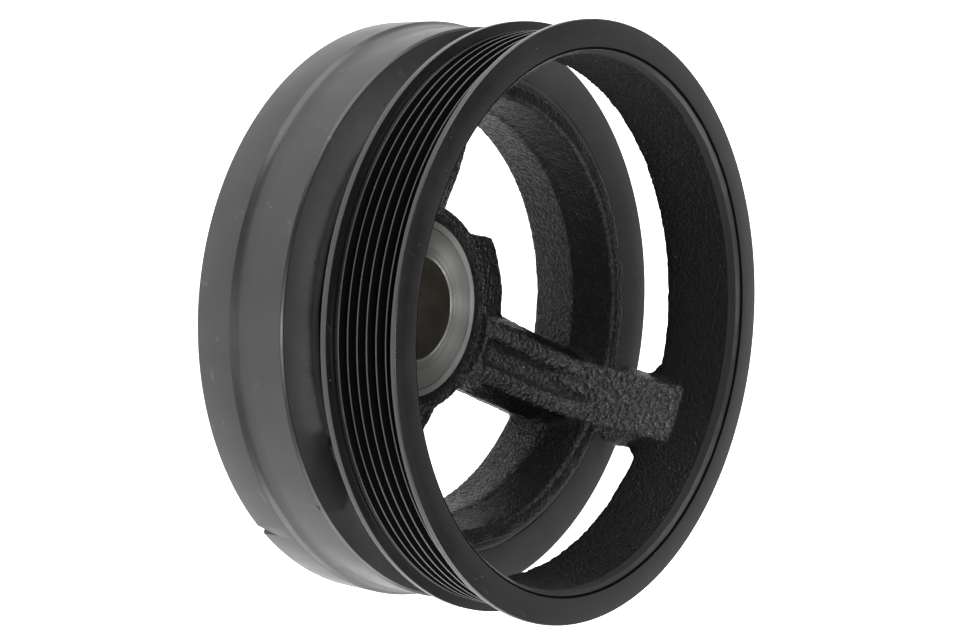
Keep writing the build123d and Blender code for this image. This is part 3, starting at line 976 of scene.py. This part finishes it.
# %% [markdown]
# ## Dressing the casting
# The skin is roughest on the spokes' fronts and the hub, and finest on the ring's wall, the spokes'
# sides and the rim ahead of its seam; there it is also darker, as painted shade. Painted masks would
# be tied to one mesh, so each face gets its finish from where it lies: by radius and depth, and by
# its place on the nearest spoke.

# %% Dress the casting
root_half_face, wall_half_face = 10.9, 9.5
face_edge, edge_floor, middle_floor = 2.0, 2.4, 8.6
ring_wall_end = 18.6


def give(piece, finishes):
    """Fills a piece's material slots."""
    piece.data.materials.clear()
    for finish in finishes:
        piece.data.materials.append(finish)


give(casting, [rough_cast, rim_cast, fine_shaded_cast])
centres = rows_of(casting.data.polygons, "center")
radius, depth = zones(centres)
along, across, under = spoke_places(centres / MM)
half_face = np.interp(along, [arm_root, wall_radius], [root_half_face, wall_half_face])
from_edge = half_face - np.abs(across)
face_floor = np.where(from_edge > face_edge, middle_floor, edge_floor)
spoke_front = (from_edge > -0.5) & (depth > ring_wall_end) & (under > -1.6) & (under < face_floor)
ring_wall = (radius > 80.0) & (depth < 32.0) & ~spoke_front
rim = (radius > 64.0) & (depth > 40.0) & ~spoke_front
spoke_side = (np.abs(across) < 20.0) & (along > 38.0) & (depth > ring_wall_end) & ~spoke_front & ~rim
# The smooth faces take the fine grade, whose darker colour is painted shade.
smooth = ring_wall | spoke_side | (rim & (depth < rim_parting))
finish_number = np.where(smooth, 2, np.where(rim, 1, 0))
casting.data.polygons.foreach_set("material_index", finish_number.astype(np.int32))
print("faces by finish", np.bincount(finish_number))

# %% [markdown]
# ## Dressing the turned pieces
# Where two finishes meet on a turned piece, the change lies on a corner of its section. So a
# rule by radius and depth shares out the faces, with no mask to paint.

# %% Dress the turned pieces
def dress(piece, finishes, rule):
    """Gives a piece its materials; rule(radius, depth) picks one for each face."""
    give(piece, finishes)
    for face in piece.data.polygons:
        c = face.center
        face.material_index = rule(math.hypot(c.x, c.y) / MM, overall_length - c.z / MM)


def inertia_rule(radius, depth):
    """The flat front face gets the paler copy, painted light; the bands get the grey one."""
    return 1 if depth < 45.6 and radius < 90.0 else 0


def pulley_rule(radius, depth):
    """Paler paint in the mouth as a painted highlight; near-black paint as painted shade at the
    mouth's very edge and in the grooves below their crests.
    """
    if radius < 84.2 and depth > 0.02:
        return 1 if depth < 0.5 else 2
    in_groove = 85.0 < radius < crest_radius - 0.12 and flange_width < depth < rear_wall
    return 1 if in_groove else 0


def nose_rule(radius, depth):
    """Oiled bore; on the front a bare ring, a painted cone, then rough cast; bare snout."""
    if radius < bore_radius + 0.25 and depth < 113.0:
        return 2
    on_front = depth < 76.0
    if on_front and radius > spotface + 0.3:
        return 3
    # Between the bare ring and the rough cast, the cone takes the fine grade, whose dark colour is
    # painted shade.
    return 1 if on_front and radius > nose_ring else 0


dress(inertia, [grey_iron, painted_light_iron], inertia_rule)
dress(pulley, [painted_turned, shade_paint, mouth_highlight_paint], pulley_rule)
dress(nose, [bare_iron, fine_shaded_cast, bore_iron, rough_cast], nose_rule)
give(fin_right, [worn_flash])
give(fin_left, [worn_flash])
give(rubber, [black_rubber])
print("all seven pieces are dressed")

# %% [markdown]
# ## Riding the part
# Nothing here moves, so every piece rides the one body. Three of them stand for CAD nodes, which
# are hidden.

# %% Ride and replace
for piece in (casting, pulley, nose, inertia, rubber, fin_right, fin_left):
    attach(piece, "root")
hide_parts("hub_casting")
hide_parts("inertia_ring")
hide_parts("elastomer_ring")
print("seven pieces ride the root")

# %% [markdown]
# ## Floor
# The part stands on its snout on a pale floor. A white one would throw too much light up under
# it, so the floor glows plain white only to the camera. For reflections and bounced light it is
# dimmer, and dimmest close to the part, where its shadow would lie.

# %% Floor
floor_half = 5
floor_mesh = bpy.data.meshes.new("floor")
floor_corners = [(x * floor_half, y * floor_half, 0) for x, y in ((-1, -1), (1, -1), (1, 1), (-1, 1))]
floor_mesh.from_pydata(floor_corners, [], [(0, 1, 2, 3)])
floor = placed("floor", floor_mesh)
pale, tree, shader, position = new_material("pale_floor")
shader.inputs["Base Color"].default_value = (0.92, 0.92, 0.92, 1.0)
shader.inputs["Roughness"].default_value = 0.9
shader.inputs["Emission Color"].default_value = (1.0, 1.0, 1.0, 1.0)
away = tree.nodes.new("ShaderNodeVectorMath")
away.operation = "LENGTH"
tree.links.new(position, away.inputs[0])
shaded = ranged(tree, away.outputs["Value"], 0.08, 0.30, 0.30, 0.75)
seen = tree.nodes.new("ShaderNodeLightPath").outputs["Is Camera Ray"]
tree.links.new(math_node(tree, "MAXIMUM", seen, shaded), shader.inputs["Emission Strength"])
floor.data.materials.append(pale)
print("floor", floor_half * 2, "m across")

# %% [markdown]
# ## Light
# Two large soft panels, one on each side, put long highlights on the turned bands. Three smaller
# ones fill in: low in front, high in front and overhead. A white sky lights the rest, but is
# nearly dark overhead, where it would wash out the black paint.

# %% Soft panels
panel_aim = Vector((0.0, 0.0, 0.06))


def soft_panel(name, place, size, power):
    """A square area light aimed at the middle of the part; size in metres, power in watts."""
    light = bpy.data.lights.new(name, "AREA")
    light.size = size
    light.energy = power
    panel = placed(name, light)
    panel.location = place
    panel.rotation_euler = (panel_aim - Vector(place)).to_track_quat("-Z", "Y").to_euler()


soft_panel("panel_left", (-1.3, -0.1, 0.75), size=1.3, power=23.0)
soft_panel("panel_right", (1.3, -0.1, 0.75), size=1.3, power=27.0)
soft_panel("panel_front", (0.2, -1.45, 0.62), size=0.7, power=2.2)
soft_panel("panel_high", (0.1, -0.78, 1.12), size=0.4, power=6.0)
soft_panel("panel_over", (0.1, 0.22, 1.35), size=0.9, power=1.6)
print("panels", len(bpy.data.lights))

# %% Sky
dim_from, dark_from = 0.54, 0.64
low_strength, high_strength = 0.82, 0.02
world = bpy.data.worlds.new("studio")
bpy.context.scene.world = world
world.use_nodes = True
sky = world.node_tree
direction = sky.nodes.new("ShaderNodeTexCoord").outputs["Generated"]
upward = sky.nodes.new("ShaderNodeSeparateXYZ")
sky.links.new(direction, upward.inputs[0])
strength = ranged(sky, upward.outputs["Z"], dim_from, dark_from, low_strength, high_strength)
sky.links.new(strength, sky.nodes["Background"].inputs["Strength"])
sky.nodes["Background"].inputs["Color"].default_value = (1.0, 1.0, 1.0, 1.0)
print("sky", low_strength, "low down,", high_strength, "overhead")

# %% [markdown]
# ## Camera
# A long lens keeps the rings' ellipses calm. The camera looks down at the pulley face and lies
# on its side, so the crank axis runs across the picture.

# %% Camera
camera_data = bpy.data.cameras.new("camera")
camera_data.lens = 69.8
camera_data.sensor_width = 36.0
camera_data.clip_start = 0.01
camera = placed("camera", camera_data)
camera_place = Vector((-78.56, -457.25, 445.06)) * MM
camera_target = Vector((3.6, 9.0, 60.0)) * MM
camera_roll = math.radians(95.37)
camera.location = camera_place
look = (camera_target - camera_place).to_track_quat("-Z", "Y").to_matrix()
camera.rotation_euler = (look @ Matrix.Rotation(camera_roll, 3, "Z")).to_euler()
bpy.context.scene.camera = camera
bpy.context.scene.view_settings.view_transform = "Standard"
print("camera distance", round(camera_place.length, 3), "m")
